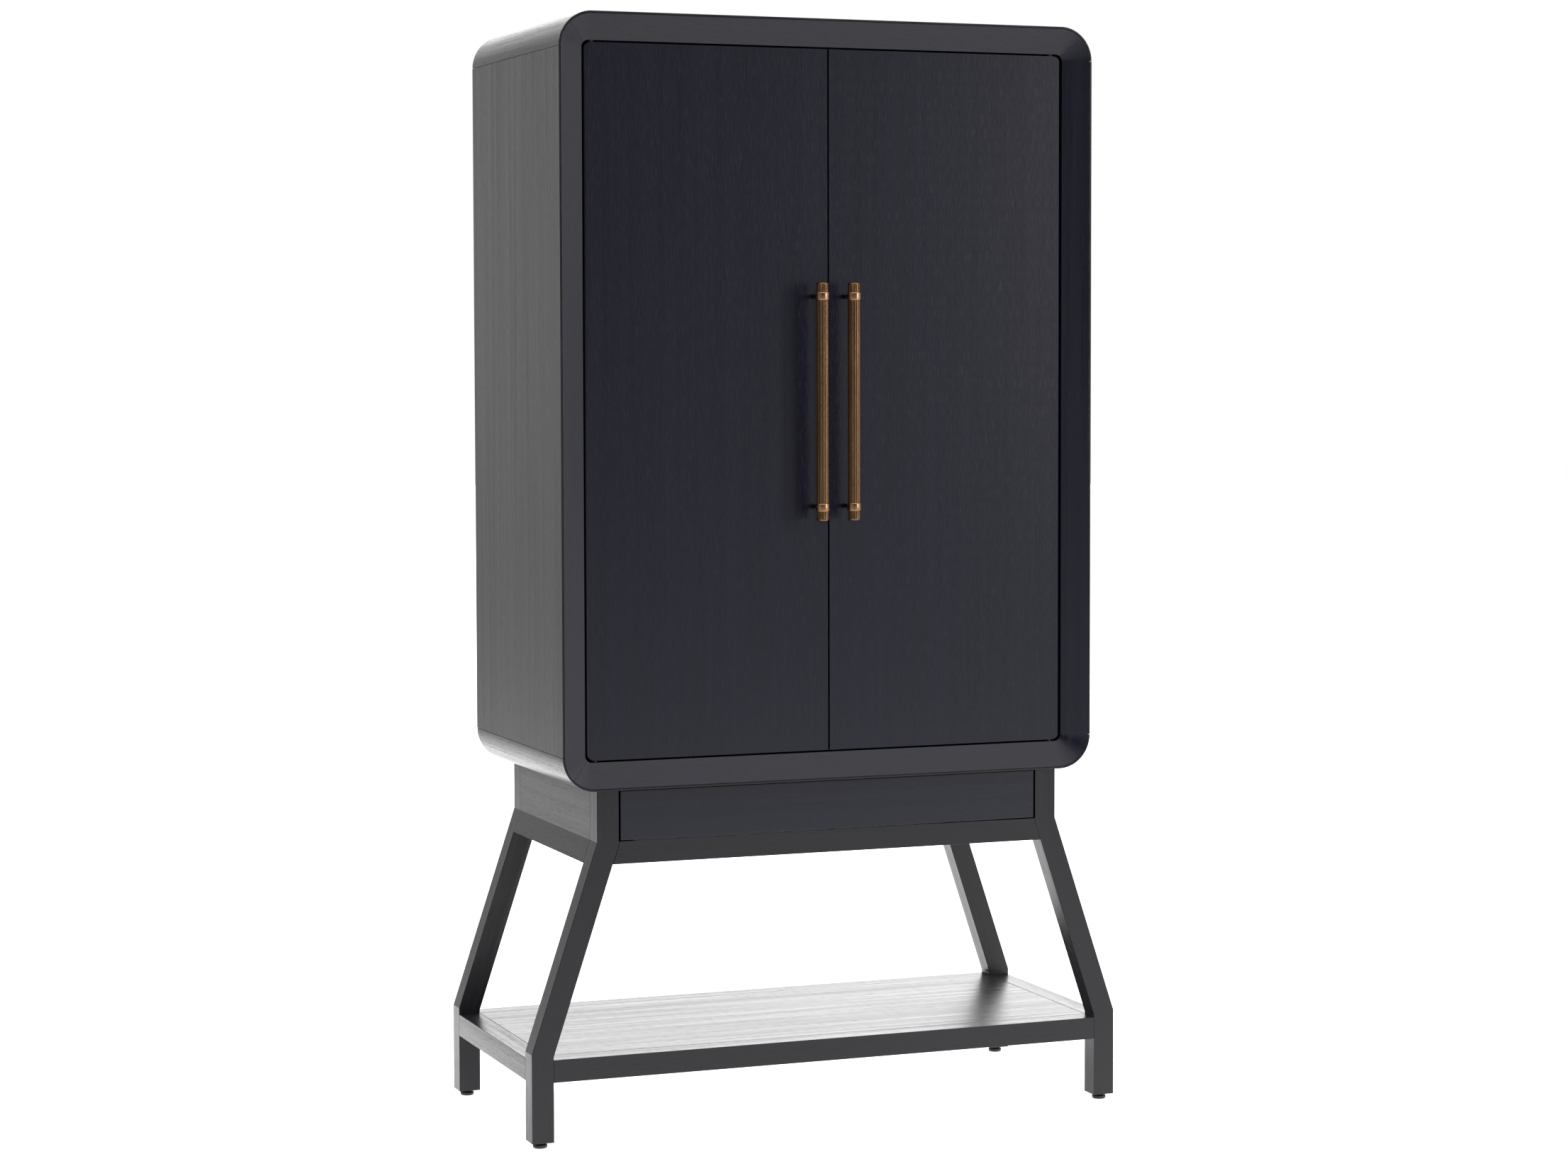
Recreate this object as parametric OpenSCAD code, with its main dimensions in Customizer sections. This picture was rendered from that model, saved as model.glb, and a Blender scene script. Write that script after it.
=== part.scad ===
// Apothecary cabinet: a round-cornered case with two inset doors, on a splayed stand
// with one wide drawer under the case and an open shelf between the feet.
// Origin: centre of the bounding box in plan, at floor level. +Z up, the front faces -Y.

/* [Case] */
// Width of the case
case_w = 962; // [800:1:1200]
// Depth of the case
case_d = 508; // [420:1:600]
// Height of the case
case_h = 1282; // [1100:1:1400]
// Radius of the four rounded corners, seen from the front
corner_r = 58; // [52:1:70]
// Wall thickness
wall = 19; // [16:1:22]
// Width of the bevelled frame band around the doors
band = 46; // [40:1:50]
// Depth that the bevel falls from the case front to the door opening
bevel_depth = 22.5; // [15:0.5:26]

/* [Doors] */
// Door thickness
door_t = 20; // [18:1:22]
// Gap around and between the doors
door_gap = 3; // [2:0.5:4]

/* [Handles] */
// Diameter of the reeded bar
bar_d = 21; // [18:0.5:24]
// Distance between the two posts of a handle
post_pitch = 354; // [250:1:400]
// Distance from the middle seam to each handle
handle_x = 28.5; // [24:0.5:40]
// Distance from the door face to the handle's axis
handle_standoff = 44.5; // [36:0.5:50]

/* [Stand] */
// Height of the glides under the legs
glide_h = 10; // [6:1:14]
// Height from the floor to the underside of the case
stand_h = 592; // [500:1:650]
// Width of the stand at the case
stand_w = 838; // [740:1:880]
// Width of the stand at the feet
foot_w = 1068; // [950:1:1150]
// Depth of the stand
stand_d = 478; // [400:1:500]
// Section of the square legs
leg_s = 38; // [32:1:44]
// Setback of the stand's front from the case front
setback = 11; // [5:1:20]
// Height of the drawer opening
drawer_h = 86; // [70:1:100]
// Height of the rail below the drawer
rail_h = 38; // [30:1:50]
// Height of the upper edge of the vertical foot, outside
foot_h = 159; // [150:1:180]
// Height of the lower shelf's top face
shelf_z = 148; // [130:1:149]

/* [Hidden] */
$fn = 64;
shelf_count = 3;
eps = 0.01;

// Colours
wood = [0.055, 0.056, 0.075];
inner_wood = [0.09, 0.09, 0.11];
aged_brass = [0.42, 0.33, 0.2];
dark_metal = [0.08, 0.075, 0.07];
bright_metal = [0.6, 0.55, 0.42];
nylon = [0.05, 0.05, 0.05];

// Handle
collar_d = bar_d + 2.5;
collar_h = 14;
cap_h = 16.5;
cap_d = bar_d - 0.5;
post_d = 9;
screw_d = 4;

// Case placing: the handles stand out furthest, so they set the front of the box
face_depth = bevel_depth + 1;
handle_reach = handle_standoff - face_depth + collar_d / 2;
front_y = (handle_reach - case_d) / 2;
case_top = stand_h + case_h;
half_w = case_w / 2;

// Case walls: a 3 mm lip in front hides the edge of the frame that sits inside it
lip = 3;
frame_depth = 46;
seam = 0.4;
back_t = 10;
back_lip = 9;

// Door opening, doors and their pivots
open_half = half_w - band;
open_bottom = stand_h + band;
open_top = case_top - band;
open_r = corner_r - band;
door_r = open_r + 2;
door_h = open_top - open_bottom - 2 * door_gap;
door_w = open_half - 1.5 * door_gap;
door_y = front_y + face_depth;
pivot_in = 16;
pivot_x = open_half - door_gap - pivot_in;
pivot_y = door_y + door_t / 2;
edge_round = 3;

// Knife hinges
leaf_t = 2.5;
leaf_w = 12;
leaf_l = 50;
pin_r = 2.5;
pin_play = 0.05;
leaf_screw = 30;
leaf_screw_r = 1.6;

// Magnetic catches and strike plates
catch_w = 60;
catch_t = 12;
catch_h = 40;
strike_t = 2;
strike_x = 20;

// Shelves in the case
inner_half = half_w - wall;
shelf_t = 19;
shelf_gap = 1;
shelf_front = 62;
shelf_space = (open_top - open_bottom) / (shelf_count + 1);
pin_in = 8;
pin_out = 10;
pin_pitch = 32;
pin_front = 95;
pin_back = 455;

// Stand
stand_front = front_y + setback;
stand_back = stand_front + stand_d;
top_half = stand_w / 2;
foot_half = foot_w / 2;
kink_z = stand_h - drawer_h;
splay = atan((foot_half - top_half) / (kink_z - foot_h));
bend = leg_s * tan(splay / 2);
rail_z = kink_z - rail_h;
rail_t = 24;
apron_t = 22;
shelf_panel_t = 20;
stretcher_z = shelf_z - leg_s;
inner_foot = foot_half - leg_s;
inner_top = top_half - leg_s;
glide_r = 12;
stem_r = 4;
stem_h = 26;

// Drawer
front_gap = 1.5;
front_side_gap = 3;
front_t = 20;
box_half = inner_top - 9;
box_t = 14;
box_z = kink_z + 6;
box_top = stand_h - 3;
box_back = stand_back - rail_t - 12;
base_t = 8;
base_z = box_z + 8;
runner_in = 30;

// ---- shared shapes ----

// Runs a front-view outline through the depth, from one distance behind the front to another
module through(from, to) {
    translate([0, front_y + to, 0])
        rotate([90, 0, 0])
            linear_extrude(to - from) children();
}

module left_or_right(side) {
    mirror([side > 0 ? 1 : 0, 0, 0]) children();
}

// Section of a case wall: x runs inward from the outer face, y back from the front
module wall_section() {
    polygon([[0, 0], [lip, 0], [lip, frame_depth], [wall, frame_depth],
        [wall, case_d - back_t], [back_lip, case_d - back_t],
        [back_lip, case_d], [0, case_d]]);
}

// Section of the bevelled frame, in the same axes
module frame_section() {
    polygon([[lip + seam, 0.5], [lip + seam + 1, 0.5], [band, bevel_depth],
        [band, frame_depth], [lip + seam, frame_depth]]);
}

// A straight wall or frame bar on the left side, between two heights
module upright(bottom, top) {
    translate([-half_w, front_y, bottom]) linear_extrude(top - bottom) children();
}

// A straight wall or frame bar along the top, between the corners
module beam() {
    length = case_w - 2 * corner_r;
    translate([-length / 2, front_y, case_top])
        rotate([90, 0, 90]) linear_extrude(length)
            rotate(-90) children();
}

// A turn around the top left corner, from the side wall up or from the top wall down
module corner(from_top, sweep) {
    translate([-half_w + corner_r, front_y, case_top - corner_r])
        rotate([-90, 0, 0])
            rotate([0, 0, from_top ? 270 : 180]) mirror([0, from_top ? 1 : 0, 0])
                rotate_extrude(angle = sweep, $fn = 96)
                    translate([corner_r, 0]) mirror([1, 0]) children();
}

// Turns a top piece over to the bottom of the case
module at_bottom() {
    translate([0, 0, stand_h + case_top]) mirror([0, 0, 1]) children();
}

// ---- case ----

module pin_holes() {
    for (level = [1:shelf_count])
        for (step = [-2:2])
            for (depth = [pin_front, pin_back])
                translate([-inner_half - pin_in - 2, front_y + depth,
                    pin_height(level) + step * pin_pitch])
                    rotate([0, 90, 0]) cylinder(r = pin_r + 0.1, h = pin_in + 2 + eps, $fn = 24);
}

module side_panel() {
    color(wood) difference() {
        upright(stand_h + corner_r, case_top - corner_r) wall_section();
        pin_holes();
    }
}

module top_panel() {
    color(wood) beam() wall_section();
}

module bolt_places() {
    for (x = [-1, 1])
        for (y = [stand_front + 75, stand_back - 75])
            translate([x * (top_half - apron_t / 2), y, 0]) children();
}

module bottom_panel() {
    color(wood) difference() {
        at_bottom() beam() wall_section();
        bolt_places() translate([0, 0, stand_h - 1]) cylinder(r = 3.1, h = wall + 2, $fn = 24);
    }
}

module corner_block() {
    color(wood) corner(false, 90) wall_section();
}

module back_panel() {
    inset = back_lip + 0.2;
    color(inner_wood)
        through(case_d - back_t + 0.1, case_d)
            rounded_panel(half_w - inset, stand_h + inset, case_top - inset, corner_r - inset);
}

module rounded_panel(half, bottom, top, r) {
    square_w = 2 * half;
    union() {
        translate([-half, bottom + r]) square([square_w, top - bottom - 2 * r]);
        translate([-half + r, bottom]) square([square_w - 2 * r, top - bottom]);
        for (x = [-half + r, half - r])
            for (z = [bottom + r, top - r])
                translate([x, z]) circle(r, $fn = 96);
    }
}

module frame_stile() {
    color(wood) union() {
        upright(stand_h + corner_r, case_top - corner_r) frame_section();
        corner(false, 45) frame_section();
        at_bottom() corner(false, 45) frame_section();
    }
}

module frame_beam() {
    union() {
        beam() frame_section();
        corner(true, 45) frame_section();
        mirror([1, 0, 0]) corner(true, 45) frame_section();
    }
}

module frame_rail_top() {
    color(wood) difference() {
        frame_beam();
        leaf_pockets();
    }
}

module frame_rail_bottom() {
    color(wood) at_bottom() difference() {
        frame_beam();
        leaf_pockets();
    }
}

module shelf(level) {
    bottom = open_bottom + level * shelf_space - shelf_t / 2;
    half = inner_half - shelf_gap;
    color(inner_wood)
        translate([-half, front_y + shelf_front, bottom])
            cube([2 * half, case_d - back_t - shelf_front - 3, shelf_t]);
}

function pin_height(level) = open_bottom + level * shelf_space - shelf_t / 2 - pin_r;

module shelf_pins() {
    color(bright_metal)
        for (side = [-1, 1])
            for (level = [1:shelf_count])
                for (depth = [pin_front, pin_back])
                    left_or_right(side)
                        translate([-inner_half - pin_in, front_y + depth, pin_height(level)])
                            rotate([0, 90, 0]) cylinder(r = pin_r, h = pin_in + pin_out, $fn = 24);
}

// ---- knife hinges: outline of one leaf, its round end on the pivot ----

module leaf_outline() {
    circle(leaf_w / 2);
    translate([0, -leaf_w / 2]) square([leaf_l - leaf_w / 2, leaf_w]);
}

module leaf(hole_r) {
    linear_extrude(leaf_t) difference() {
        leaf_outline();
        if (hole_r > 0) circle(hole_r);
        for (x = [0, 12]) translate([leaf_screw - 6 + x, 0]) circle(leaf_screw_r, $fn = 24);
    }
}

module leaf_pockets() {
    for (side = [-1, 1])
        left_or_right(side)
            translate([-pivot_x, pivot_y, open_top - eps])
                linear_extrude(leaf_t + eps) leaf_outline();
}

module case_leaf_top() {
    translate([-pivot_x, pivot_y, open_top]) {
        leaf(0);
        translate([0, 0, -door_gap + 0.3]) cylinder(r = 5, h = door_gap - 0.3);
        translate([0, 0, -door_gap - leaf_t - 1.5])
            cylinder(r = pin_r, h = door_gap + leaf_t + 1.5 + leaf_t / 2);
    }
}

module hinge_case_leaves() {
    color(bright_metal)
        for (side = [-1, 1])
            left_or_right(side) {
                case_leaf_top();
                at_bottom() case_leaf_top();
            }
}

module magnetic_catch() {
    translate([-catch_w / 2, front_y + frame_depth, open_top - 20])
        cube([catch_w, catch_t, catch_h]);
}

module magnetic_catches() {
    color(dark_metal) {
        magnetic_catch();
        at_bottom() magnetic_catch();
    }
}

module case_bolts() {
    color(dark_metal)
        bolt_places() {
            translate([0, 0, stand_h - 30]) cylinder(r = 3, h = 30 + wall);
            translate([0, 0, stand_h + wall]) cylinder(r = 7, h = 4);
        }
}

// ---- stand ----

// Horizontal distance of the outside of the legs from the middle, below the kink
function outside_at(z) = top_half + (kink_z - z) * tan(splay);
// The same for a face set in by a thickness
function inside_at(z, t) = outside_at(z) - t / cos(splay);

module leg_outline() {
    polygon([[-top_half, stand_h], [-top_half, kink_z], [-foot_half, foot_h],
        [-foot_half, glide_h], [-inner_foot, glide_h], [-inner_foot, foot_h - bend],
        [-inner_top, kink_z - bend], [-inner_top, stand_h]]);
}

module leg_at(y_from_front) {
    start = setback + y_from_front;
    color(wood) difference() {
        through(start, start + leg_s) leg_outline();
        translate([-foot_half + leg_s / 2, front_y + start + leg_s / 2, glide_h - 1])
            cylinder(r = stem_r + 0.05, h = stem_h + 3, $fn = 48);
    }
}

module leg_front() { leg_at(0); }

module leg_back() { leg_at(stand_d - leg_s); }

module side_apron() {
    turn = apron_t * tan(splay / 2);
    color(wood) difference() {
        through(setback + leg_s, setback + stand_d - leg_s)
            polygon([[-top_half, stand_h], [-top_half, kink_z],
                [-outside_at(rail_z), rail_z], [-inside_at(rail_z, apron_t), rail_z],
                [-top_half + apron_t, kink_z - turn], [-top_half + apron_t, stand_h]]);
        bolt_places() translate([0, 0, stand_h - 32]) cylinder(r = 3.05, h = 33, $fn = 24);
    }
}

module rail_outline(top) {
    half_low = inside_at(rail_z, leg_s);
    polygon([[-inner_top, top], [-inner_top, kink_z - bend], [-half_low, rail_z],
        [half_low, rail_z], [inner_top, kink_z - bend], [inner_top, top]]);
}

module apron_rail_front() {
    color(wood) through(setback, setback + rail_t) rail_outline(kink_z);
}

module apron_back() {
    end = setback + stand_d;
    color(wood) through(end - rail_t, end) rail_outline(stand_h);
}

module drawer_runner() {
    from = setback + leg_s;
    to = setback + stand_d - leg_s;
    inside = top_half - apron_t;
    guide = box_half + 1.5;
    color(inner_wood) through(from, to)
        polygon([[-inside, box_z - 14], [-inside, box_top - 30], [-guide, box_top - 30],
            [-guide, box_z - 0.3], [-box_half + runner_in, box_z - 0.3],
            [-box_half + runner_in, box_z - 14]]);
}

module stretcher_side() {
    color(wood)
        translate([-foot_half, stand_front + leg_s, stretcher_z])
            cube([leg_s, stand_d - 2 * leg_s, leg_s]);
}

module stretcher_cross(y) {
    color(wood)
        translate([-inner_foot, y, stretcher_z]) cube([2 * inner_foot, leg_s, leg_s]);
}

module stretcher_front() { stretcher_cross(stand_front); }

module stretcher_back() { stretcher_cross(stand_back - leg_s); }

module lower_shelf() {
    play = 0.4;
    color(wood)
        translate([-inner_foot + play, stand_front + leg_s + play, shelf_z - shelf_panel_t])
            cube([2 * (inner_foot - play), stand_d - 2 * (leg_s + play), shelf_panel_t]);
}

module glide(back) {
    y = back ? stand_back - leg_s / 2 : stand_front + leg_s / 2;
    color(nylon)
        translate([-foot_half + leg_s / 2, y, 0]) {
            cylinder(r1 = glide_r - 1.5, r2 = glide_r, h = 3);
            translate([0, 0, 3]) cylinder(r = glide_r, h = 3);
            translate([0, 0, 6]) cylinder(r = 7, h = glide_h - 6.3);
            cylinder(r = stem_r, h = glide_h + stem_h);
        }
}

// ---- drawer ----

module drawer_front() {
    half = inner_top - front_side_gap;
    color(wood)
        translate([-half, stand_front, kink_z + front_gap])
            cube([2 * half, front_t, drawer_h - 2 * front_gap]);
}

module drawer_side() {
    start = stand_front + front_t;
    color(inner_wood) difference() {
        translate([-box_half, start, box_z]) cube([box_t, box_back - start, box_top - box_z]);
        translate([-box_half + box_t - 6, start - 1, base_z])
            cube([7, box_back - start + 2, base_t]);
    }
}

module drawer_back() {
    half = box_half - box_t;
    color(inner_wood)
        translate([-half, box_back - box_t, base_z + base_t])
            cube([2 * half, box_t, box_top - base_z - base_t - 8]);
}

module drawer_bottom() {
    half = box_half - box_t + 5.8;
    start = stand_front + front_t;
    color(inner_wood)
        translate([-half, start, base_z]) cube([2 * half, box_back - start, base_t]);
}

// ---- doors ----

module door_outline() {
    left = -open_half + door_gap;
    low = open_bottom + door_gap;
    high = low + door_h;
    difference() {
        translate([left, low]) square([door_w, door_h]);
        for (z = [low, high])
            difference() {
                translate([left - 1, z - (z == low ? 1 : door_r)]) square(door_r + 1);
                translate([left + door_r, z + (z == low ? door_r : -door_r)])
                    circle(door_r, $fn = 96);
            }
    }
}

module door() {
    left = -open_half + door_gap;
    color(wood) difference() {
        through(face_depth, face_depth + door_t) door_outline();
        // rounded hinge edge, front and back
        for (back = [0, 1])
            translate([0, back * (2 * door_y + door_t), 0]) mirror([0, back, 0])
                difference() {
                    translate([left - 1, door_y - 1, open_bottom])
                        cube([edge_round + 1, edge_round + 1, door_h + 2 * door_gap]);
                    translate([left + edge_round, door_y + edge_round, open_bottom - 1])
                        cylinder(r = edge_round, h = door_h + 2 * door_gap + 2, $fn = 48);
                }
        door_leaf_pocket();
        at_bottom() door_leaf_pocket();
        handle_places() post_hole();
    }
}

module door_leaf_pocket() {
    translate([-pivot_x, pivot_y, open_top - door_gap - leaf_t]) {
        linear_extrude(leaf_t + 1) leaf_outline();
        translate([0, 0, -4]) cylinder(r = 3, h = 5);
    }
}

module post_hole() {
    translate([0, 0, -1]) cylinder(r = screw_d / 2 + 0.1, h = door_t + 2, $fn = 32);
}

module door_leaf() {
    translate([-pivot_x, pivot_y, open_top - door_gap - leaf_t]) leaf(pin_r + pin_play);
}

module hinge_leaves() {
    color(bright_metal) {
        door_leaf();
        at_bottom() door_leaf();
    }
}

module strike_plate() {
    translate([-strike_x - 12, door_y + door_t, open_top - 18]) cube([24, strike_t, 12]);
}

module strike_plates() {
    color(bright_metal) {
        strike_plate();
        at_bottom() strike_plate();
    }
}

// ---- handle: the two post places, z pointing out from the door face ----

handle_mid = stand_h + case_h / 2;
bar_end = post_pitch / 2 + collar_h / 2;

module handle_places() {
    for (z = [-1, 1])
        translate([-handle_x, door_y + door_t, handle_mid + z * post_pitch / 2])
            rotate([90, 0, 0]) children();
}

module on_handle_axis() {
    translate([-handle_x, door_y - handle_standoff, handle_mid]) children();
}

module handle_bar() {
    length = post_pitch - collar_h;
    color(aged_brass) on_handle_axis()
        translate([0, 0, -length / 2]) cylinder(d = bar_d, h = length);
}

module handle_collars() {
    color(aged_brass) difference() {
        on_handle_axis()
            for (z = [-1, 1])
                translate([0, 0, z * post_pitch / 2 - collar_h / 2])
                    cylinder(d = collar_d, h = collar_h);
        handle_places()
            translate([0, 0, door_t + handle_standoff - collar_d / 2 - 1])
                cylinder(d = post_d, h = 5);
    }
}

module handle_caps() {
    color(aged_brass) on_handle_axis()
        for (side = [0, 1])
            mirror([0, 0, side]) translate([0, 0, bar_end]) {
                cylinder(d = cap_d, h = cap_h - 3);
                translate([0, 0, cap_h - 3]) cylinder(d1 = cap_d, d2 = cap_d - 5, h = 3);
            }
}

module handle_posts() {
    length = handle_standoff - collar_d / 2 + 4;
    color(dark_metal)
        handle_places() translate([0, 0, door_t]) difference() {
            cylinder(d = post_d, h = length);
            translate([0, 0, -1]) cylinder(d = screw_d, h = 16, $fn = 32);
        }
}

module handle_screws() {
    color(dark_metal)
        handle_places() {
            cylinder(d = screw_d, h = door_t + 14, $fn = 32);
            translate([0, 0, -2.2]) cylinder(d = 8.5, h = 2.2);
        }
}

// ---- nodes ----

side_panel();  // side_panel_left
left_or_right(1) side_panel();  // side_panel_right
top_panel();
bottom_panel();
corner_block();  // corner_block_top_left
left_or_right(1) corner_block();  // corner_block_top_right
at_bottom() corner_block();  // corner_block_bottom_left
left_or_right(1) at_bottom() corner_block();  // corner_block_bottom_right
back_panel();
frame_stile();  // frame_stile_left
left_or_right(1) frame_stile();  // frame_stile_right
frame_rail_top();
frame_rail_bottom();
shelf(1);  // shelf_lower
shelf(2);  // shelf_middle
shelf(3);  // shelf_upper
shelf_pins();
hinge_case_leaves();
magnetic_catches();
case_bolts();
leg_front();  // leg_front_left
left_or_right(1) leg_front();  // leg_front_right
leg_back();  // leg_back_left
left_or_right(1) leg_back();  // leg_back_right
side_apron();  // side_apron_left
left_or_right(1) side_apron();  // side_apron_right
apron_rail_front();
apron_back();
drawer_runner();  // drawer_runner_left
left_or_right(1) drawer_runner();  // drawer_runner_right
stretcher_side();  // stretcher_left
left_or_right(1) stretcher_side();  // stretcher_right
stretcher_front();
stretcher_back();
lower_shelf();
glide(false);  // glide_front_left
left_or_right(1) glide(false);  // glide_front_right
glide(true);  // glide_back_left
left_or_right(1) glide(true);  // glide_back_right
drawer_front();
drawer_side();  // drawer_side_left
left_or_right(1) drawer_side();  // drawer_side_right
drawer_back();
drawer_bottom();
door();  // door_left
hinge_leaves();  // hinge_leaves_left
strike_plates();  // strike_plates_left
handle_bar();  // handle_bar_left
handle_collars();  // handle_collars_left
handle_caps();  // handle_caps_left
handle_posts();  // handle_posts_left
handle_screws();  // handle_screws_left
left_or_right(1) door();  // door_right
left_or_right(1) hinge_leaves();  // hinge_leaves_right
left_or_right(1) strike_plates();  // strike_plates_right
left_or_right(1) handle_bar();  // handle_bar_right
left_or_right(1) handle_collars();  // handle_collars_right
left_or_right(1) handle_caps();  // handle_caps_right
left_or_right(1) handle_posts();  // handle_posts_right
left_or_right(1) handle_screws();  // handle_screws_right
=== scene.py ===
"""Apothecary cabinet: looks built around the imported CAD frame. Metres, +Z up, the front faces -Y."""
import math

import bmesh
import bpy
from mathutils import Matrix, Vector


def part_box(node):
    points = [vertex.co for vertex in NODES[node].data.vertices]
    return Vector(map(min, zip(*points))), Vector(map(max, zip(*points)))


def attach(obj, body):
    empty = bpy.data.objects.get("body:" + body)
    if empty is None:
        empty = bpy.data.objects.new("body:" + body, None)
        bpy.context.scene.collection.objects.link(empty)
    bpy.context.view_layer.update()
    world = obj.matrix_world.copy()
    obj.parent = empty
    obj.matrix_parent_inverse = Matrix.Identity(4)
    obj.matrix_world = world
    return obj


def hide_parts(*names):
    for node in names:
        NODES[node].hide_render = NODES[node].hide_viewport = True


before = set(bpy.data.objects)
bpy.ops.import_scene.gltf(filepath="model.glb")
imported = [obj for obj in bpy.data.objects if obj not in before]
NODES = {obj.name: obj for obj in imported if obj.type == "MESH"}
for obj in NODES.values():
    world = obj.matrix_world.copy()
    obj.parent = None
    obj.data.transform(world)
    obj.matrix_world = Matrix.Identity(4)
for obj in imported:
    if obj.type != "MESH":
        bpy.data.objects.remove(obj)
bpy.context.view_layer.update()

MM = 0.001

# ---------------------------------------------------------------- sizes from the frame

SIDE_LO, SIDE_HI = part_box("side_panel_left")
STILE_LO, STILE_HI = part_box("frame_stile_left")
BACK_LO, BACK_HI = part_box("back_panel")
DOOR_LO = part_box("door_left")[0]
FRONT_Y = SIDE_LO.y
CASE_DEPTH = SIDE_HI.y - SIDE_LO.y
HALF_W = -SIDE_LO.x
CASE_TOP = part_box("top_panel")[1].z
CASE_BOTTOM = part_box("bottom_panel")[0].z
CORNER_R = CASE_TOP - SIDE_HI.z
WALL = SIDE_HI.x - SIDE_LO.x
DOOR_GAP = 3 * MM
DOOR_STEP = 1 * MM
BAND = HALF_W + DOOR_LO.x - DOOR_GAP
BEVEL_DEPTH = DOOR_LO.y - FRONT_Y - DOOR_STEP
FRAME_BACK = STILE_HI.y - FRONT_Y
FRAME_OUT = HALF_W + STILE_LO.x
FRAME_INSET = 0.5 * MM
FRAME_RIM = 1 * MM
BACK_T = BACK_HI.y - BACK_LO.y
FRONT_LIP = 3 * MM
BACK_LIP = 9 * MM
POCKET_DEPTH = 4 * MM
SMOOTH_ANGLE = 20

# ---------------------------------------------------------------- small helpers


def vec(x, y, z):
    return Vector((x, y, z))


def link(obj):
    bpy.context.scene.collection.objects.link(obj)
    return obj


def finish_mesh(bm, name, smooth_angle=SMOOTH_ANGLE):
    """Turns a bmesh into an object with outward normals, smooth up to an angle."""
    bmesh.ops.recalc_face_normals(bm, faces=bm.faces)
    mesh = bpy.data.meshes.new(name)
    bm.to_mesh(mesh)
    bm.free()
    mesh.shade_smooth()
    mesh.set_sharp_from_angle(angle=math.radians(smooth_angle))
    return link(bpy.data.objects.new(name, mesh))


def soften(obj, width, segments=2):
    """Rounds an object's sharp edges."""
    bevel = obj.modifiers.new("arris", "BEVEL")
    bevel.width = width
    bevel.segments = segments
    bevel.limit_method = "ANGLE"
    bevel.angle_limit = math.radians(SMOOTH_ANGLE)
    bevel.harden_normals = True
    bevel.use_clamp_overlap = True
    bevel.miter_outer = "MITER_ARC"
    return obj


def soften_cad(node, width, segments=2):
    """Welds a CAD node's faces together and rounds its edges, without touching its mesh."""
    obj = NODES[node]
    weld = obj.modifiers.new("weld", "WELD")
    weld.merge_threshold = 0.02 * MM
    flat = obj.modifiers.new("flat", "DECIMATE")
    flat.decimate_type = "DISSOLVE"
    flat.angle_limit = math.radians(0.5)
    return soften(obj, width, segments)


def paint(obj, material):
    obj.data.materials.clear()
    obj.data.materials.append(material)
    return obj


def place(obj, body, node):
    """A new piece rides on a body and stands for a CAD node, which it hides."""
    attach(obj, body)
    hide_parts(node)
    return obj


# ---------------------------------------------------------------- materials


class Tree:
    """The node tree of a material or a world, with short calls for adding and joining nodes."""

    def __init__(self, owner):
        owner.use_nodes = True
        self.nodes = owner.node_tree.nodes
        self.links = owner.node_tree.links
        self.shader = self.nodes.get("Principled BSDF") or self.nodes.get("Background")

    def add(self, kind, inputs=None, **settings):
        node = self.nodes.new(kind)
        for key, value in settings.items():
            setattr(node, key, value)
        for key, value in (inputs or {}).items():
            self.put(node.inputs[key], value)
        return node

    def put(self, socket, value):
        if isinstance(value, bpy.types.NodeSocket):
            self.links.new(value, socket)
        else:
            socket.default_value = value

    def math(self, operation, *values):
        node = self.add("ShaderNodeMath", operation=operation)
        for socket, value in zip(node.inputs, values):
            self.put(socket, value)
        return node.outputs[0]

    def ramp(self, value, stops, interpolation="EASE"):
        node = self.add("ShaderNodeValToRGB", {"Fac": value})
        ramp = node.color_ramp
        ramp.interpolation = interpolation
        while len(ramp.elements) < len(stops):
            ramp.elements.new(0.5)
        for element, (place_, color) in zip(ramp.elements, stops):
            element.position = place_
            grey = isinstance(color, float)
            element.color = (color, color, color, 1) if grey else (*color, 1)
        return node.outputs["Color"]

    def noise(self, vector, scale, detail=3.0, roughness=0.55, distortion=0.0):
        inputs = {"Vector": vector, "Scale": scale, "Detail": detail}
        inputs["Roughness"] = roughness
        inputs["Distortion"] = distortion
        return self.add("ShaderNodeTexNoise", inputs).outputs["Fac"]

    def mix(self, factor, a, b):
        node = self.add("ShaderNodeMix", data_type="RGBA")
        self.put(node.inputs["Factor"], factor)
        self.put(node.inputs["A"], a if not isinstance(a, tuple) else (*a, 1))
        self.put(node.inputs["B"], b if not isinstance(b, tuple) else (*b, 1))
        return node.outputs["Result"]

    def fade(self, value, low, high):
        """0 below low and 1 above high, with a smooth run between."""
        inputs = {"Value": value, "From Min": low, "From Max": high}
        node = self.add("ShaderNodeMapRange", inputs, interpolation_type="SMOOTHSTEP")
        return node.outputs["Result"]

    def bump(self, height, strength, distance):
        inputs = {"Height": height, "Strength": strength, "Distance": distance}
        return self.add("ShaderNodeBump", inputs).outputs["Normal"]


def stretched(tree, source, across, along, seed):
    """Scales a grain coordinate, whose Z runs along the fibres, for one layer of texture."""
    node = tree.add("ShaderNodeMapping", {"Vector": source})
    node.inputs["Scale"].default_value = (across, across, along)
    node.inputs["Location"].default_value = (seed * 7.31, seed * 3.17, seed * 1.93)
    return node.outputs["Vector"]


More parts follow.
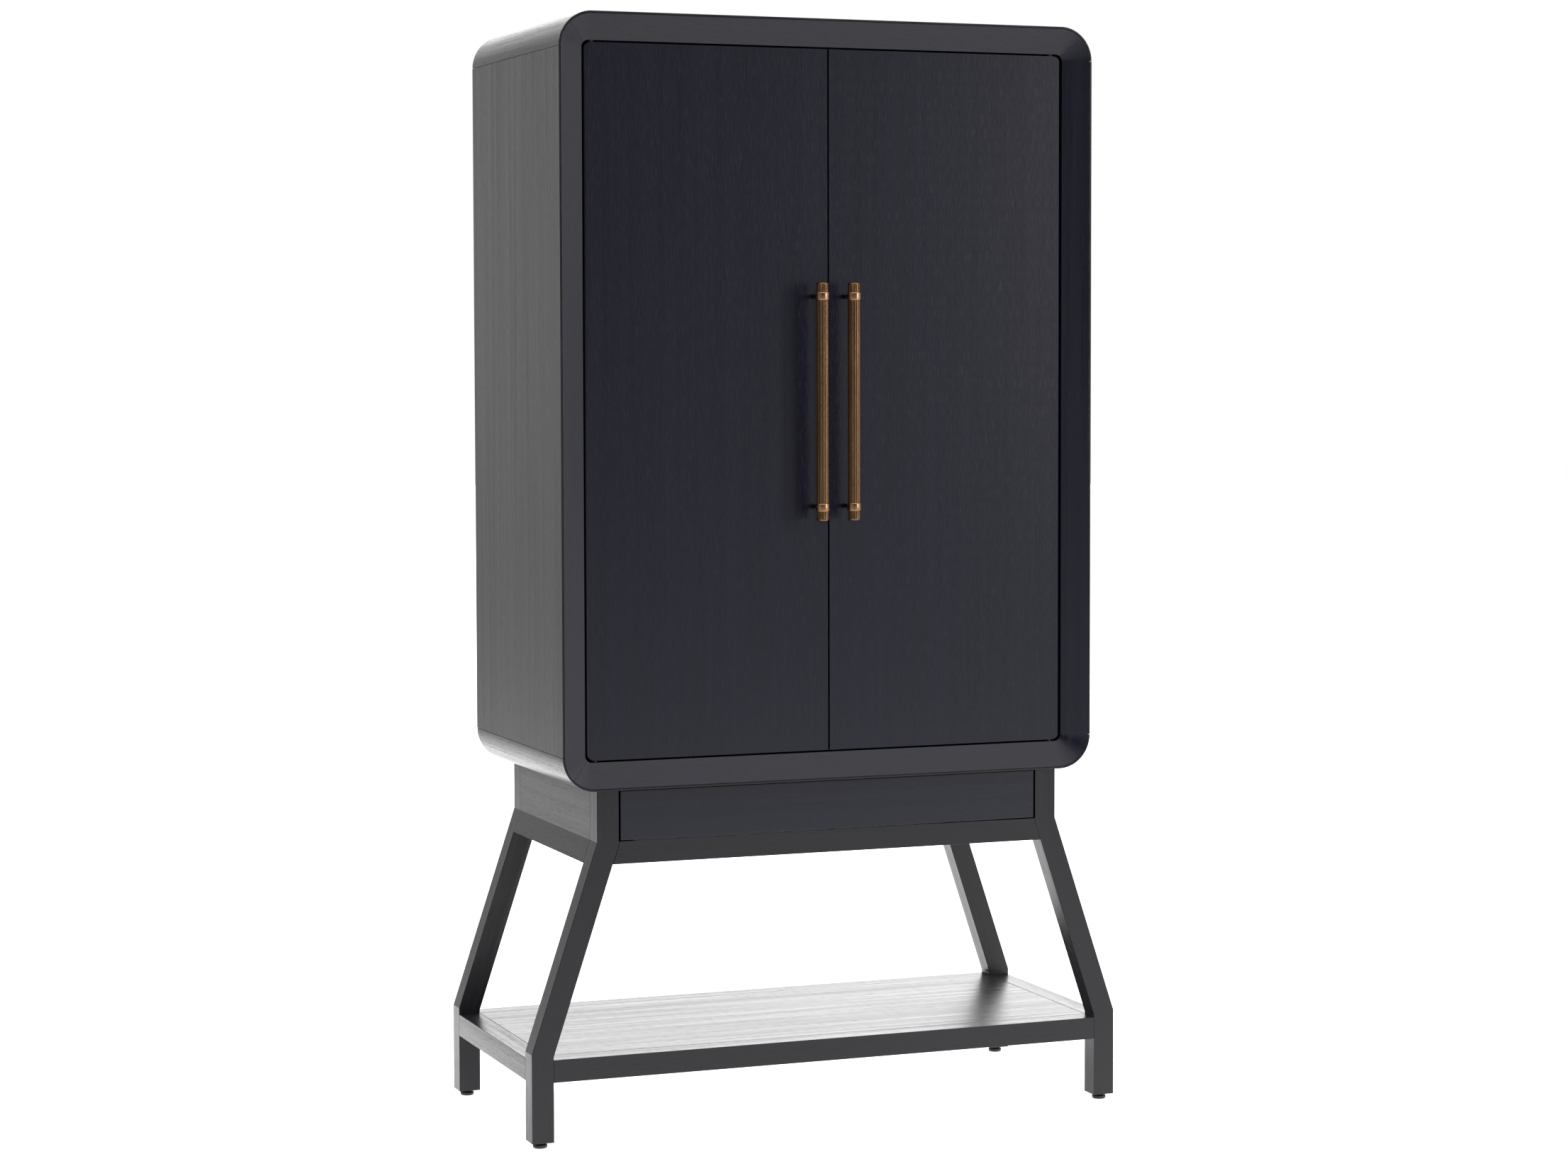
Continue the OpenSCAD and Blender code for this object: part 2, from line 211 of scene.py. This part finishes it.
def grain_space(tree, axis, lean=None):
    """The object's place with Z turned along the fibres. lean shears X to follow a kinked leg."""
    place_ = tree.add("ShaderNodeTexCoord").outputs["Object"]
    parts = tree.add("ShaderNodeSeparateXYZ", {"Vector": place_})
    x, y, z = parts.outputs["X"], parts.outputs["Y"], parts.outputs["Z"]
    if lean:
        low_z, low_x, high_z, high_x = lean
        shift = tree.add("ShaderNodeMapRange", {"Value": z}, clamp=True)
        for key, value in zip(
            ("From Min", "From Max", "To Min", "To Max"), (low_z, high_z, low_x, high_x)
        ):
            shift.inputs[key].default_value = value
        x = tree.math("SUBTRACT", x, shift.outputs["Result"])
    order = {"x": (y, z, x), "y": (x, z, y), "z": (x, y, z)}[axis]
    joined = tree.add("ShaderNodeCombineXYZ", {"X": order[0], "Y": order[1], "Z": order[2]})
    return joined.outputs["Vector"]


STAIN = ((0.0034, 0.0034, 0.0110), (0.0056, 0.0056, 0.0172))
PLAIN_STAIN = ((0.0046, 0.0046, 0.0066), (0.0080, 0.0080, 0.0112))
# The inside wood is painted lighter and greyer than the dark outside stain, as painted fill light for
# the dim interior.
INSIDE_PAINTED_FILL_STAIN = ((0.026, 0.025, 0.027), (0.046, 0.044, 0.047))
PORE = (0.0018, 0.0018, 0.0040)


def wood(name, axis, seed, stain=STAIN, gloss=0.30, figure=1.0, lean=None):
    """Stained straight-grained open-pore wood under satin lacquer."""
    material = bpy.data.materials.new(name)
    t = Tree(material)
    space = grain_space(t, axis, lean)
    wander = t.noise(stretched(t, space, 9, 1.2, seed), 1.0, 2.0)
    bands = t.noise(stretched(t, space, 55, 0.9, seed + 1), 1.0, 3.0, 0.6, 0.4)
    lines = t.noise(stretched(t, space, 330, 3.5, seed + 2), 1.0, 3.0, 0.6)
    pores = t.noise(stretched(t, space, 1500, 42, seed + 3), 1.0, 2.0, 0.5)
    open_pores = t.ramp(pores, [(0.30, 1.0), (0.44, 0.0)], "LINEAR")
    blend = t.math("MULTIPLY", bands, 0.45)
    blend = t.math("ADD", blend, t.math("MULTIPLY", lines, 0.40))
    blend = t.math("ADD", blend, t.math("MULTIPLY", wander, 0.15))
    shade = t.ramp(blend, [(0.36, stain[0]), (0.64, stain[1])], "LINEAR")
    color = t.mix(t.math("MULTIPLY", open_pores, 0.6), shade, PORE)
    t.put(t.shader.inputs["Base Color"], color)
    rough = t.math("MULTIPLY_ADD", bands, 0.30 * figure, gloss - 0.24 * figure)
    rough = t.math("MULTIPLY_ADD", lines, 0.18 * figure, rough)
    rough = t.math("MULTIPLY_ADD", open_pores, 0.18, rough)
    t.put(t.shader.inputs["Roughness"], rough)
    t.shader.inputs["IOR"].default_value = 1.47
    relief = t.math("SUBTRACT", t.math("MULTIPLY", lines, 0.35), open_pores)
    t.put(t.shader.inputs["Normal"], t.bump(relief, 0.10 + 0.30 * figure, 0.08 * MM))
    return material


def brass(name, bright, dark, gloss, seed):
    """Antique brass: warm and mottled, darker where polish doesn't reach."""
    material = bpy.data.materials.new(name)
    t = Tree(material)
    place_ = t.add("ShaderNodeTexCoord").outputs["Object"]
    mottle = t.noise(stretched(t, place_, 130, 14, seed), 1.0, 3.0, 0.5)
    brushed = t.noise(stretched(t, place_, 1600, 30, seed + 1), 1.0, 2.0)
    blend = t.math("ADD", t.math("MULTIPLY", mottle, 0.7), t.math("MULTIPLY", brushed, 0.3))
    t.put(t.shader.inputs["Base Color"], t.ramp(blend, [(0.35, dark), (0.62, bright)]))
    t.shader.inputs["Metallic"].default_value = 1.0
    rough = t.math("ADD", t.math("MULTIPLY", mottle, 0.16), gloss - 0.08)
    t.put(t.shader.inputs["Roughness"], rough)
    t.put(t.shader.inputs["Normal"], t.bump(brushed, 0.15, 0.05 * MM))
    return material


def plain(name, color, roughness, metallic=0.0):
    """Moulded plastic or blackened steel with a fine mottled surface."""
    material = bpy.data.materials.new(name)
    t = Tree(material)
    place_ = t.add("ShaderNodeTexCoord").outputs["Object"]
    speckle = t.noise(place_, 400.0)
    lift = tuple(min(1.0, c * 1.35) for c in color)
    t.put(t.shader.inputs["Base Color"], t.ramp(speckle, [(0.35, color), (0.68, lift)]))
    t.shader.inputs["Metallic"].default_value = metallic
    t.put(t.shader.inputs["Roughness"], t.math("ADD", t.math("MULTIPLY", speckle, 0.15), roughness))
    t.put(t.shader.inputs["Normal"], t.bump(speckle, 0.2, 0.03 * MM))
    return material


def stage_light(t):
    """1 round the cabinet and behind it, fading to 0 in front and to its left, softer far away."""
    place_ = t.add("ShaderNodeTexCoord").outputs["Object"]
    away = t.add("ShaderNodeVectorMath", {0: place_}, operation="LENGTH").outputs["Value"]
    limits = {"Value": away, "From Min": 3.0, "From Max": 28.0, "To Min": 1.0, "To Max": 2.5}
    spread = t.add("ShaderNodeMapRange", limits).outputs["Result"]
    parts = t.add("ShaderNodeSeparateXYZ", {"Vector": place_})
    across = t.math("MULTIPLY_ADD", parts.outputs["Y"], -0.13, parts.outputs["X"])
    across = t.math("DIVIDE", across, spread)
    back = t.math("DIVIDE", parts.outputs["Y"], spread)
    return t.math("MULTIPLY", t.fade(back, -3.6, 2.6), t.fade(across, -2.4, -0.5))


def floor_material():
    """White round the cabinet and behind it, fading to grey far in front and to its left: a painted
    pool of light, glowing where the stage is lit, with its base colour painted darker as painted shade
    where the glow fades.
    """
    material = bpy.data.materials.new("studio_floor")
    t = Tree(material)
    lit = stage_light(t)
    t.put(t.shader.inputs["Base Color"], t.ramp(lit, [(0.0, 0.40), (1.0, 0.80)], "LINEAR"))
    t.shader.inputs["Roughness"].default_value = 0.9
    t.shader.inputs["Specular IOR Level"].default_value = 0.1
    t.put(t.shader.inputs["Emission Color"], t.ramp(lit, [(0.0, 0.0), (1.0, 1.0)], "LINEAR"))
    t.shader.inputs["Emission Strength"].default_value = 1.5
    return material


def backdrop_material():
    """Glows white behind the cabinet and the grey of the far floor in front and to its left."""
    material = bpy.data.materials.new("studio_backdrop")
    t = Tree(material)
    glow = t.ramp(stage_light(t), [(0.0, 0.58), (0.3, 1.0)], "LINEAR")
    t.put(t.shader.inputs["Emission Color"], glow)
    t.shader.inputs["Emission Strength"].default_value = 1.0
    t.shader.inputs["Base Color"].default_value = (0, 0, 0, 1)
    t.shader.inputs["Specular IOR Level"].default_value = 0.0
    material.cycles.emission_sampling = "NONE"
    return material


# ---------------------------------------------------------------- swept case pieces


def station(angle):
    """Where the case outline is around the top left corner: 0 at the side wall, 90 on top."""
    a = math.radians(angle)
    centre = vec(-HALF_W + CORNER_R, FRONT_Y, CASE_TOP - CORNER_R)
    outward = vec(-math.cos(a), 0, math.sin(a))
    return centre + outward * CORNER_R, -outward


def sweep(name, profile, stations):
    """Carries a closed outline of (inward, back) pairs along stations of (place, inward)."""
    bm = bmesh.new()
    rings = []
    for place_, inward in stations:
        ring = [bm.verts.new(place_ + inward * u + vec(0, v, 0)) for u, v in profile]
        rings.append(ring)
    count = len(profile)
    for ring, following in zip(rings, rings[1:]):
        for i in range(count):
            j = (i + 1) % count
            bm.faces.new((ring[i], ring[j], following[j], following[i]))
    ends = [bm.faces.new(rings[0]), bm.faces.new(list(reversed(rings[-1])))]
    bmesh.ops.triangulate(bm, faces=ends)
    return finish_mesh(bm, name)


def flip(obj, x=False, z=False):
    """Mirrors a piece made at the top left to another corner of the case."""
    matrix = Matrix.Identity(4)
    if x:
        matrix = Matrix.Scale(-1, 4, vec(1, 0, 0)) @ matrix
    if z:
        middle = Matrix.Translation(vec(0, 0, CASE_TOP + CASE_BOTTOM))
        matrix = middle @ Matrix.Scale(-1, 4, vec(0, 0, 1)) @ matrix
    obj.data.transform(matrix)
    if x != z:
        obj.data.flip_normals()
    return obj


WALL_PROFILE = [
    (0, 0), (FRONT_LIP, 0), (FRONT_LIP, FRAME_BACK), (WALL, FRAME_BACK),
    (WALL, CASE_DEPTH - BACK_T), (BACK_LIP, CASE_DEPTH - BACK_T),
    (BACK_LIP, CASE_DEPTH), (0, CASE_DEPTH),
]
FRAME_PROFILE = [
    (FRAME_OUT, FRAME_INSET), (FRAME_OUT + FRAME_RIM, FRAME_INSET), (BAND, BEVEL_DEPTH),
    (BAND, FRAME_BACK), (FRAME_OUT, FRAME_BACK),
]
ARC_STEP = 3.0  # degrees between two stations round a corner
SEAM = 0.6  # degrees left open between a corner block and its panels


def arc(start, end):
    steps = int(round((end - start) / ARC_STEP))
    return [station(start + (end - start) * i / steps) for i in range(steps + 1)]


def corner_blocks(material):
    for vertical in ("top", "bottom"):
        for side in ("left", "right"):
            name = f"corner_block_{vertical}_{side}"
            piece = sweep(name + "_piece", WALL_PROFILE, arc(SEAM, 90 - SEAM))
            flip(piece, x=side == "right", z=vertical == "bottom")
            soften(piece, 0.5 * MM)
            place(paint(piece, material), "cabinet", name)


def mirrored_station(item):
    place_, inward = item
    z = CASE_TOP + CASE_BOTTOM - place_.z
    return vec(place_.x, place_.y, z), vec(inward.x, inward.y, -inward.z)


def frame_stiles(material):
    up = arc(0, 45)
    down = [mirrored_station(item) for item in reversed(up)]
    for side in ("left", "right"):
        name = f"frame_stile_{side}"
        piece = sweep(name + "_piece", FRAME_PROFILE, down + up)
        flip(piece, x=side == "right")
        soften(piece, 0.8 * MM, 3)
        place(paint(piece, material), "cabinet", name)


def leaf_cutter(side):
    """The shape of one hinge leaf let into the top of the opening, its round end at the jamb."""
    lo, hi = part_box("hinge_leaves_left")
    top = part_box("hinge_case_leaves")[1].z
    radius = (hi.y - lo.y) / 2
    middle_y = (lo.y + hi.y) / 2
    outline = [(hi.x, hi.y), (hi.x, lo.y)]
    steps = 12
    for i in range(steps + 1):
        a = math.pi * (1.5 - i / steps)
        outline.append((lo.x + radius + radius * math.cos(a), middle_y + radius * math.sin(a)))
    bm = bmesh.new()
    rings = []
    for z in (top - POCKET_DEPTH, top):
        rings.append([bm.verts.new(vec(-side * x, y, z)) for x, y in outline])
    count = len(outline)
    for i in range(count):
        j = (i + 1) % count
        bm.faces.new((rings[0][i], rings[0][j], rings[1][j], rings[1][i]))
    for ring in rings:
        bm.faces.new(ring)
    return finish_mesh(bm, "leaf_cutter")


def cut_leaf_pockets(piece):
    for side in (-1, 1):
        cutter = leaf_cutter(side)
        boolean = piece.modifiers.new("pocket", "BOOLEAN")
        boolean.operation = "DIFFERENCE"
        boolean.solver = "EXACT"
        boolean.object = cutter
        bpy.context.view_layer.objects.active = piece
        bpy.ops.object.modifier_apply(modifier=boolean.name)
        bpy.data.objects.remove(cutter)


def frame_rails(material):
    left = arc(45, 90)
    right = [(vec(-p.x, p.y, p.z), vec(-n.x, n.y, n.z)) for p, n in reversed(left)]
    for vertical in ("top", "bottom"):
        name = f"frame_rail_{vertical}"
        piece = sweep(name + "_piece", FRAME_PROFILE, left + right)
        cut_leaf_pockets(piece)
        flip(piece, z=vertical == "bottom")
        soften(piece, 0.8 * MM, 3)
        place(paint(piece, material), "cabinet", name)


# ---------------------------------------------------------------- turned and reeded metal


def lathe(name, profile, sides, axis_at, direction, reeds=0, reed_depth=0.0, reeded=()):
    """Turns (radius, height) pairs about a line; rings listed in reeded carry the reeds."""
    bm = bmesh.new()
    turn = vec(0, 0, 1).rotation_difference(direction).to_matrix().to_4x4()
    matrix = Matrix.Translation(axis_at) @ turn
    rings = []
    for index, (radius, height) in enumerate(profile):
        if radius < 1e-6:
            rings.append([bm.verts.new(matrix @ vec(0, 0, height))])
            continue
        ring = []
        for i in range(sides):
            a = 2 * math.pi * i / sides
            r = radius
            if reeds and index in reeded:
                phase = (a * reeds / (2 * math.pi)) % 1.0
                r -= reed_depth * (1 - math.sqrt(max(0.0, 1 - (2 * phase - 1) ** 2)))
            ring.append(bm.verts.new(matrix @ vec(r * math.cos(a), r * math.sin(a), height)))
        rings.append(ring)
    for low, high in zip(rings, rings[1:]):
        for i in range(sides):
            j = (i + 1) % sides
            corners = [low[i % len(low)], low[j % len(low)], high[j % len(high)], high[i % len(high)]]
            unique = list(dict.fromkeys(corners))
            if len(unique) > 2:
                bm.faces.new(unique)
    for ring in (rings[0], rings[-1]):
        if len(ring) > 2:
            bm.faces.new(ring)
    return finish_mesh(bm, name, 40)


def rounded_rod(radius, bottom, top, fillet, steps=4):
    """Profile of a rod with rounded ends, from its lower middle to its upper middle."""
    points = [(0, bottom)]
    for i in range(steps + 1):
        a = math.pi / 2 * i / steps
        points.append((radius - fillet + fillet * math.sin(a), bottom + fillet - fillet * math.cos(a)))
    for i in range(steps + 1):
        a = math.pi / 2 * i / steps
        points.append((radius - fillet + fillet * math.cos(a), top - fillet + fillet * math.sin(a)))
    points.append((0, top))
    return points


REEDS = 12
REED_DEPTH = 1.2 * MM
REED_SIDES = REEDS * 12
UP = Vector((0, 0, 1))


def join(objects, name):
    """Joins pieces that share a node into one object."""
    bm = bmesh.new()
    for obj in objects:
        bm.from_mesh(obj.data)
        bpy.data.objects.remove(obj)
    mesh = bpy.data.meshes.new(name)
    bm.to_mesh(mesh)
    bm.free()
    mesh.shade_smooth()
    mesh.set_sharp_from_angle(angle=math.radians(40))
    return link(bpy.data.objects.new(name, mesh))


def handle(side, metals):
    body = f"door_{side}"
    bar_lo, bar_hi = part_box(f"handle_bar_{side}")
    collar_lo, collar_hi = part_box(f"handle_collars_{side}")
    cap_lo, cap_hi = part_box(f"handle_caps_{side}")
    post_lo, post_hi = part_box(f"handle_posts_{side}")
    axis_x = (bar_lo.x + bar_hi.x) / 2
    axis_y = (bar_lo.y + bar_hi.y) / 2
    foot = vec(axis_x, axis_y, 0)
    bar_r = (bar_hi.x - bar_lo.x) / 2

    profile = [(0, bar_lo.z), (bar_r, bar_lo.z), (bar_r, bar_hi.z), (0, bar_hi.z)]
    bar = lathe(f"handle_bar_{side}_piece", profile, REED_SIDES, foot, UP,
                REEDS, REED_DEPTH, (1, 2))
    place(paint(bar, metals["bar"]), body, f"handle_bar_{side}")

    collar_r = (collar_hi.x - collar_lo.x) / 2
    collar_h = bar_lo.z - collar_lo.z
    collars = []
    for low in (collar_lo.z, collar_hi.z - collar_h):
        rod = rounded_rod(collar_r, low, low + collar_h, 2.2 * MM, 5)
        collars.append(lathe("collar", rod, 96, foot, UP))
    collar = join(collars, f"handle_collars_{side}_piece")
    place(paint(collar, metals["collar"]), body, f"handle_collars_{side}")

    cap_r = (cap_hi.x - cap_lo.x) / 2
    reeded_rings = (6, 7)
    caps = []
    for end, base, tip in ((-1, collar_lo.z, cap_lo.z), (1, collar_hi.z, cap_hi.z)):
        dome = [(0, tip), (cap_r * 0.55, tip), (cap_r * 0.80, tip - end * 0.5 * MM),
                (cap_r * 0.92, tip - end * 1.4 * MM), (cap_r * 0.98, tip - end * 2.6 * MM),
                (cap_r, tip - end * 3.6 * MM), (cap_r, tip - end * 4.0 * MM), (cap_r, base)]
        caps.append(lathe("cap", dome, REED_SIDES, foot, UP, REEDS, REED_DEPTH, reeded_rings))
    cap = join(caps, f"handle_caps_{side}_piece")
    place(paint(cap, metals["bar"]), body, f"handle_caps_{side}")

    post_r = (post_hi.x - post_lo.x) / 2
    reach = post_hi.y - post_lo.y
    posts = []
    for z in (post_lo.z + post_r, post_hi.z - post_r):
        flange = [(0, 0), (post_r, 0), (post_r, 1.6 * MM), (post_r * 0.86, 2.4 * MM),
                  (post_r * 0.72, 3.6 * MM), (post_r * 0.72, reach - 9 * MM),
                  (post_r * 0.9, reach - 6 * MM), (post_r * 0.9, reach), (0, reach)]
        posts.append(lathe("post", flange, 48, vec(axis_x, post_hi.y, z), vec(0, -1, 0)))
    post = join(posts, f"handle_posts_{side}_piece")
    place(paint(post, metals["post"]), body, f"handle_posts_{side}")


def glides(material):
    for name in ("front_left", "front_right", "back_left", "back_right"):
        lo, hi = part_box(f"glide_{name}")
        radius = (hi.x - lo.x) / 2
        foot = vec((lo.x + hi.x) / 2, (lo.y + hi.y) / 2, lo.z)
        stem = 4 * MM
        profile = [(0, 0), (radius - 2 * MM, 0), (radius - 1.2 * MM, 0.3 * MM),
                   (radius - 0.4 * MM, 1.4 * MM), (radius, 3 * MM), (radius, 5 * MM),
                   (radius - 0.6 * MM, 5.8 * MM), (radius - 3 * MM, 6.4 * MM),
                   (7 * MM, 7 * MM), (7 * MM, 9.5 * MM), (stem, 9.6 * MM),
                   (stem, hi.z - lo.z - 1 * MM), (stem - 1 * MM, hi.z - lo.z),
                   (0, hi.z - lo.z)]
        piece = lathe(f"glide_{name}_piece", profile, 64, foot, UP)
        place(paint(piece, material), f"leveller_{name}", f"glide_{name}")


# ---------------------------------------------------------------- carried-over CAD nodes


def carry(nodes, material, width, segments=2):
    for node in nodes:
        soften_cad(node, width, segments)
        paint(NODES[node], material)


def leg_lean(node):
    """Heights and places between which a leg leans: low z, low x, high z, high x."""
    coords = [v.co for v in NODES[node].data.vertices]
    side = 1 if coords[0].x > 0 else -1
    outer = sorted({(round(c.z, 4), round(abs(c.x), 4)) for c in coords})
    foot_x = max(x for z, x in outer)
    top_z = max(z for z, x in outer)
    top_x = max(x for z, x in outer if z == top_z)
    knee = max(z for z, x in outer if abs(x - foot_x) < MM)
    kink = min(z for z, x in outer if abs(x - top_x) < MM)
    return knee, side * foot_x, kink, side * top_x


# ---------------------------------------------------------------- stage, lights and camera


def studio():
    """A pale floor, and a pale dome over it that is only seen and casts no light."""
    bm = bmesh.new()
    reach = 30.0
    corners = [(-reach, -reach), (reach, -reach), (reach, reach), (-reach, reach)]
    bm.faces.new([bm.verts.new(vec(x, y, 0)) for x, y in corners])
    floor = finish_mesh(bm, "studio_floor")
    paint(floor, floor_material())

    bm = bmesh.new()
    bmesh.ops.create_uvsphere(bm, u_segments=64, v_segments=32, radius=reach - 2)
    dome = finish_mesh(bm, "studio_backdrop", 180)
    dome.visible_diffuse = False
    dome.visible_glossy = False
    dome.visible_transmission = False
    dome.visible_volume_scatter = False
    dome.visible_shadow = False
    paint(dome, backdrop_material())


# Brightness of the room round the cabinet, by direction in degrees: 0 ahead of the doors,
# 90 to the right, 180 behind. The space in front is dim, the rest is white.
ROOM = [
    (-180, 2.0), (-168, 0.6), (-140, 0.5), (-90, 0.4), (-45, 0.2), (-20, 0.05), (14, 0.05),
    (34, 0.75), (60, 1.0), (110, 1.4), (140, 3.4), (156, 3.4), (166, 2.8), (180, 2.0),
]
ROOM_PEAK = 3.4
CEILING = 1.6


def room():
    """A studio in which the light comes from behind, from the right and from above."""
    world = bpy.data.worlds.new("studio")
    bpy.context.scene.world = world
    t = Tree(world)
    place_ = t.add("ShaderNodeTexCoord").outputs["Generated"]
    parts = t.add("ShaderNodeSeparateXYZ", {"Vector": place_})
    ahead = t.math("MULTIPLY", parts.outputs["Y"], -1.0)
    turn = t.math("ARCTAN2", parts.outputs["X"], ahead)
    turn = t.math("MULTIPLY_ADD", turn, 0.5 / math.pi, 0.5)
    stops = [(0.5 + degrees / 360, level / ROOM_PEAK) for degrees, level in ROOM]
    wall = t.ramp(turn, stops, "LINEAR")
    height = t.ramp(parts.outputs["Z"], [(0.30, 0.0), (0.80, 1.0)])
    level = t.mix(height, wall, (CEILING / ROOM_PEAK,) * 3)
    t.put(t.shader.inputs["Color"], level)
    t.shader.inputs["Strength"].default_value = ROOM_PEAK


def softbox(name, width, height, radiance, place_, target):
    """A white panel of light, by the brightness of its face."""
    light = bpy.data.lights.new(name, "AREA")
    light.shape = "RECTANGLE"
    light.size = width
    light.size_y = height
    light.energy = radiance * math.pi * width * height
    panel = link(bpy.data.objects.new(name, light))
    panel.location = place_
    panel.rotation_euler = (Vector(target) - Vector(place_)).to_track_quat("-Z", "Y").to_euler()
    panel.visible_camera = False


def lights():
    room()
    softbox("key_right", 0.6, 2.6, 13.0, (3.9, -4.4, 2.0), (0, 0, 1.1))
    softbox("overhead", 5.0, 3.0, 2.2, (0, 1.5, 4.6), (0, 0.5, 0))
    softbox("bounce_card", 2.6, 1.2, 0.6, (1.0, -2.1, 0.05), (1.0, -1.8, 2.0))


CAMERA_YAW = 21.12
CAMERA_PITCH = -3.17
CAMERA_ROLL = -0.13
CAMERA_RUN = 5.788
CAMERA_AIM_X = -0.0903
CAMERA_HEIGHT = 1.32
CAMERA_SHIFT = -0.03
SENSOR = 36.0
LENS = 79.13


def camera():
    """Stands to the left of the cabinet, 1.3 m up, and looks right, back and slightly down."""
    yaw, pitch = math.radians(CAMERA_YAW), math.radians(CAMERA_PITCH)
    forward = vec(math.sin(yaw) * math.cos(pitch), math.cos(yaw) * math.cos(pitch), math.sin(pitch))
    aim = vec(CAMERA_AIM_X, FRONT_Y, CAMERA_HEIGHT)
    data = bpy.data.cameras.new("camera")
    data.sensor_width = SENSOR
    data.lens = LENS
    data.shift_y = CAMERA_SHIFT
    obj = link(bpy.data.objects.new("camera", data))
    turn = forward.to_track_quat("-Z", "Y").to_matrix().to_4x4()
    roll = Matrix.Rotation(math.radians(CAMERA_ROLL), 4, "Z")
    start = aim - vec(forward.x, forward.y, 0) * CAMERA_RUN
    obj.matrix_world = Matrix.Translation(start) @ turn @ roll
    bpy.context.scene.camera = obj


LEG_SEEDS = {"front_left": 24.0, "front_right": 25.0, "back_left": 23.0, "back_right": 24.0}

# ---------------------------------------------------------------- the whole scene

camera()
studio()
lights()
bpy.context.scene.view_settings.view_transform = "Standard"

wood_side = {side: wood(f"wood_side_{side}", "z", seed, PLAIN_STAIN)
             for side, seed in (("left", 1.0), ("right", 2.0))}
wood_door = {side: wood(f"wood_door_{side}", "z", seed, gloss=0.25, figure=0.12)
             for side, seed in (("left", 3.0), ("right", 4.0))}
wood_stile = wood("wood_stile", "z", 4.5)
wood_rail = wood("wood_rail", "x", 5.0)
wood_front = wood("wood_drawer_front", "x", 5.5, gloss=0.25, figure=0.5)
wood_across = wood("wood_across", "x", 6.5, PLAIN_STAIN)
wood_deep = wood("wood_deep", "y", 6.0, PLAIN_STAIN)
wood_inside_x = wood("wood_inside_across", "x", 7.0, INSIDE_PAINTED_FILL_STAIN, 0.42)
wood_inside_y = wood("wood_inside_deep", "y", 8.0, INSIDE_PAINTED_FILL_STAIN, 0.42)
wood_inside_z = wood("wood_inside_upright", "z", 9.0, INSIDE_PAINTED_FILL_STAIN, 0.42)
reeded = brass("brass_reeded", (0.205, 0.116, 0.062), (0.16, 0.090, 0.047), 0.24, 1.0)
polished = brass("brass_collar", (0.42, 0.245, 0.135), (0.33, 0.185, 0.10), 0.26, 2.0)
machined = brass("brass_hinge", (0.085, 0.062, 0.042), (0.055, 0.040, 0.028), 0.40, 3.0)
steel = plain("black_steel", (0.02, 0.018, 0.017), 0.35, 1.0)
nylon = plain("glide_nylon", (0.02, 0.02, 0.021), 0.45)

corner_blocks(wood_deep)
frame_stiles(wood_stile)
frame_rails(wood_rail)
for door_side in ("left", "right"):
    handle(door_side, {"bar": reeded, "collar": polished, "post": steel})
    carry([f"door_{door_side}"], wood_door[door_side], 0.8 * MM)
    carry([f"side_panel_{door_side}"], wood_side[door_side], 0.5 * MM)
    carry([f"side_apron_{door_side}"], wood_deep, 1.0 * MM)
    carry([f"stretcher_{door_side}"], wood_deep, 0.8 * MM)
    carry([f"drawer_side_{door_side}", f"drawer_runner_{door_side}"], wood_inside_y, 0.6 * MM)
    carry([f"hinge_leaves_{door_side}", f"strike_plates_{door_side}"], machined, 0.2 * MM)
    carry([f"handle_screws_{door_side}"], steel, 0.3 * MM)
for corner, seed in LEG_SEEDS.items():
    leg = f"leg_{corner}"
    carry([leg], wood(f"wood_{leg}", "z", seed, PLAIN_STAIN, lean=leg_lean(leg)), 1.0 * MM)
glides(nylon)
carry(["top_panel", "bottom_panel", "apron_rail_front", "apron_back", "stretcher_front",
       "stretcher_back", "lower_shelf"], wood_across, 0.8 * MM)
carry(["drawer_front"], wood_front, 1.5 * MM, 3)
carry(["shelf_lower", "shelf_middle", "shelf_upper", "drawer_back", "drawer_bottom"],
      wood_inside_x, 0.8 * MM)
carry(["back_panel"], wood_inside_z, 0.5 * MM)
carry(["shelf_pins", "hinge_case_leaves"], machined, 0.2 * MM)
carry(["magnetic_catches", "case_bolts"], steel, 0.5 * MM)
